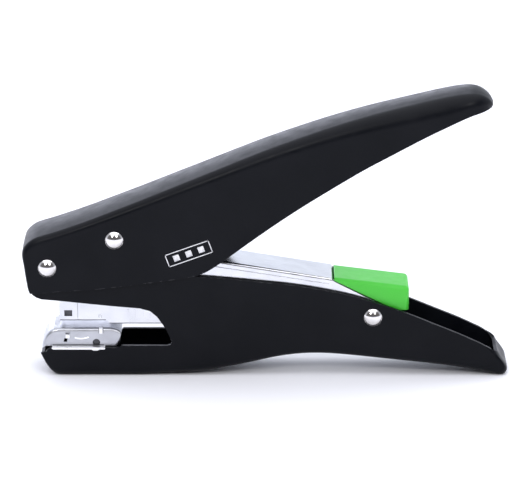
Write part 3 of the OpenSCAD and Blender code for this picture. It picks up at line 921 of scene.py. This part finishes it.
def helix(start, direction, length, turns, mean_r, wire_r, per_turn):
    """A coil spring from start along direction, with one closed turn at each end, as one smooth wire."""
    direction = np.array(direction, float)
    across = np.array([0.0, 1.0, 0.0])
    other = np.cross(direction, across)
    end = wire_r + CLOSED_PITCH * wire_r
    path = []
    for i in range(turns * per_turn + 1):
        turn = i / per_turn
        if turn < 1:
            along = wire_r + turn * CLOSED_PITCH * wire_r
        elif turn > turns - 1:
            along = length - wire_r - (turns - turn) * CLOSED_PITCH * wire_r
        else:
            along = end + (length - 2 * end) * (turn - 1) / (turns - 2)
        a = 2 * math.pi * turn
        radial = mean_r * (math.cos(a) * across + math.sin(a) * other)
        path.append(np.array(start) + direction * along + radial)
    return tube(path, wire_r, 8)


def return_spring():
    """The return spring, standing on the magazine."""
    low, high = box_mm("return_spring")
    axis_x = (low[0] + high[0]) / 2
    foot = (axis_x, 0, low[2])
    coil = helix(foot, (0, 0, 1), high[2] - low[2], RETURN_TURNS, RETURN_MEAN_R, RETURN_WIRE_R, 28)
    coil = piece("return_spring_coil", *coil, STEEL, "magazine", "steel", ["return_spring"])
    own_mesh(coil)


def pusher_spring():
    """The pusher spring, on the guide rod."""
    low, high = box_mm("pusher_spring")
    rod_z = (low[2] + high[2]) / 2
    front = (low[0], 0, rod_z)
    coil = helix(front, (1, 0, 0), high[0] - low[0], PUSHER_TURNS, PUSHER_MEAN_R, PUSHER_WIRE_R, 20)
    coil = piece("pusher_spring_coil", *coil, STEEL, "follower", "steel", ["pusher_spring"])
    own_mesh(coil)


upper_handle()
lower_handle()
rivet("front_rivet_heads", FRONT_PIVOT, UPPER_HALF, SHANK_R, "upper_arm", "front_rivet")
rivet("drive_rivet_heads", DRIVE_PIN, UPPER_HALF, SHANK_R, "upper_arm", "drive_rivet")
rivet("rear_rivet_heads", REAR_PIVOT, LOWER_HALF, REAR_SHANK_R, "lower_arm", "rear_rivet")
anvil()
anvil_tabs()
anvil_pin_and_crease_shade()
anvil_flanges()
magazine_marks()
magazine_foot_shadows()
printed_mark()
driver_lever()
lever_tongue()
pull_cap()
pull_cap_core()
return_spring()
pusher_spring()


# ---------------------------------------------------------------- carried-over CAD nodes

def finish_node(node, material, width):
    """Gives a CAD node its material, and rounds its edges by width."""
    obj = NODES[node]
    obj.data.materials.clear()
    obj.data.materials.append(material)
    weld = obj.modifiers.new("weld", "WELD")
    weld.merge_threshold = 1e-6
    flat = obj.modifiers.new("merge_coplanar", "DECIMATE")
    flat.decimate_type = "DISSOLVE"
    flat.angle_limit = math.radians(0.5)
    round_edges(obj, width, 2)


# Nodes, their material, and how far their edges are rounded.
FINISHES = [
    (("magazine_channel", "nose_plate", "staple_cover"), NICKEL, 0.22),
    (("cover_rivets",), NICKEL, 0.08),
    (("anvil_plate", "pivot_washers", "lift_spring", "drive_roller", "drive_washers", "driver_blade",
      "latch_spring", "guide_rod", "rod_clip", "spring_washer"), STEEL, 0.05),
    (("pusher",), DARK_STEEL, 0.15),
]
for nodes, material, width in FINISHES:
    for node in nodes:
        finish_node(node, material, width)


# ---------------------------------------------------------------- studio

# What the nickel and the floor see all round, as linear colours, and the lights, in metres and watts.
WALLS = (0.97, 1.02, 1.13)
ROOM = (0.15, 0.145, 0.15)
BACKDROP = (2.3, 2.38, 2.75)
CEILING = (2.2, 2.22, 2.35)
LIGHT_X, LIGHT_Y, LIGHT_Z = 0.5, -1.0, 0.85
LIGHT_TARGET = (0, 0, 0.04)
LIGHT_SIZE = (0.32, 0.24)
LIGHT_POWER = 3.3
FLOOR_HALF = 6.0


def make_floor():
    """One plain pale sheet."""
    size = FLOOR_HALF
    mesh = bpy.data.meshes.new("floor")
    corners = [(-size, -size, 0), (size, -size, 0), (size, size, 0), (-size, size, 0)]
    mesh.from_pydata(corners, [], [(0, 1, 2, 3)])
    mesh.materials.append(FLOOR)
    floor = bpy.data.objects.new("floor", mesh)
    bpy.context.scene.collection.objects.link(floor)


def front_light(side):
    """A softbox in front and above, to the left or right, turned to the stapler."""
    data = bpy.data.lights.new("front_light", "AREA")
    data.shape = "RECTANGLE"
    data.size, data.size_y = LIGHT_SIZE
    data.energy = LIGHT_POWER
    light = bpy.data.objects.new("front_light", data)
    light.location = (side * LIGHT_X, LIGHT_Y, LIGHT_Z)
    towards = Vector(LIGHT_TARGET) - light.location
    light.rotation_euler = towards.to_track_quat("-Z", "Y").to_euler()
    bpy.context.scene.collection.objects.link(light)


def make_world():
    """A bright ceiling, dimmer walls, a bright backdrop low behind, and the dark room in front."""
    world = bpy.data.worlds.new("studio")
    bpy.context.scene.world = world
    world.use_nodes = True
    tree = world.node_tree
    coords = tree.nodes.new("ShaderNodeTexCoord")
    split = tree.nodes.new("ShaderNodeSeparateXYZ")
    tree.links.new(coords.outputs["Generated"], split.inputs[0])
    along, side, up = split.outputs["X"], split.outputs["Y"], split.outputs["Z"]
    front = multiply(tree, remap(tree, side, 0.05, -0.4, 0, 1), remap(tree, up, -0.02, 0.06, 0, 1))
    backdrop = multiply(tree, remap(tree, side, 0.5, 0.85, 0, 1), remap(tree, up, 0.55, 0.33, 0, 1))
    backdrop = multiply(tree, backdrop, remap(tree, along, 0.085, 0.01, 0, 1))
    colour = mix_colours(tree, front, WALLS, ROOM)
    colour = mix_colours(tree, backdrop, colour, BACKDROP)
    colour = mix_colours(tree, remap(tree, up, 0.62, 0.88, 0, 1), colour, CEILING)
    tree.links.new(colour, tree.nodes["Background"].inputs["Color"])


make_floor()
make_world()
for side in (-1, 1):
    front_light(side)
bpy.context.scene.view_settings.view_transform = "Standard"
